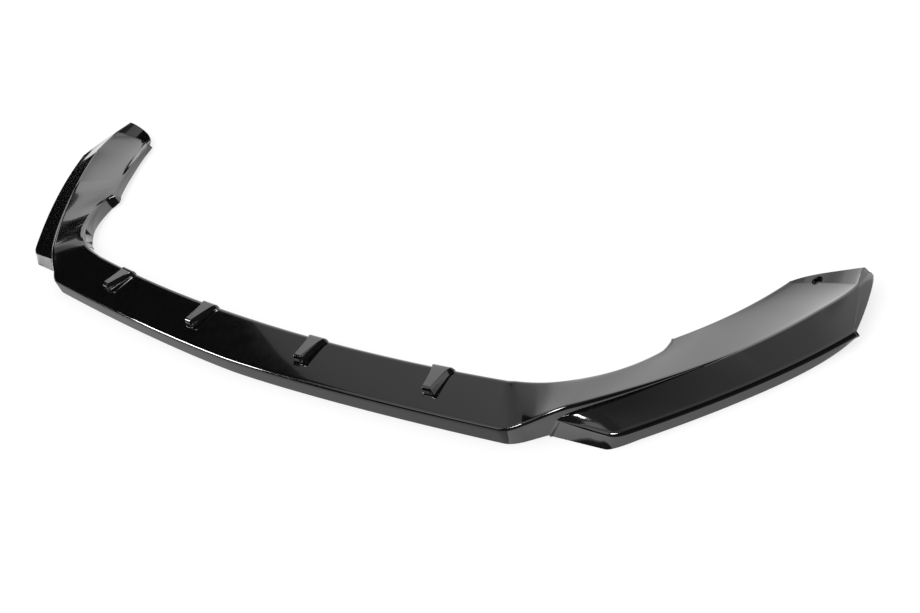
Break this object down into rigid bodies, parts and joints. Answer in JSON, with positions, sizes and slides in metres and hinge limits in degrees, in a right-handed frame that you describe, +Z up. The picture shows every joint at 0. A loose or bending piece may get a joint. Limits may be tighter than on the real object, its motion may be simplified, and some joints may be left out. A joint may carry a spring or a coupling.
{
  "type": "front splitter lip",
  "caption": "Front splitter lip for a car bumper: a shallow bow with swept-back side arms, a stepped blade along each arm, low fins on top and a screw hole at each end.",
  "frame": {"origin": "middle of the part's length and width, on the plane of the skirt's lower edge", "axes": "+X across the car, -Y towards the front of the car, +Z up"},
  "size_m": [1.806, 0.4072, 0.0365],
  "materials": {
    "black_abs": "gloss"
  },
  "bodies": {
    "root": {"splitter_lip": "black_abs"}
  },
  "joints": []
}
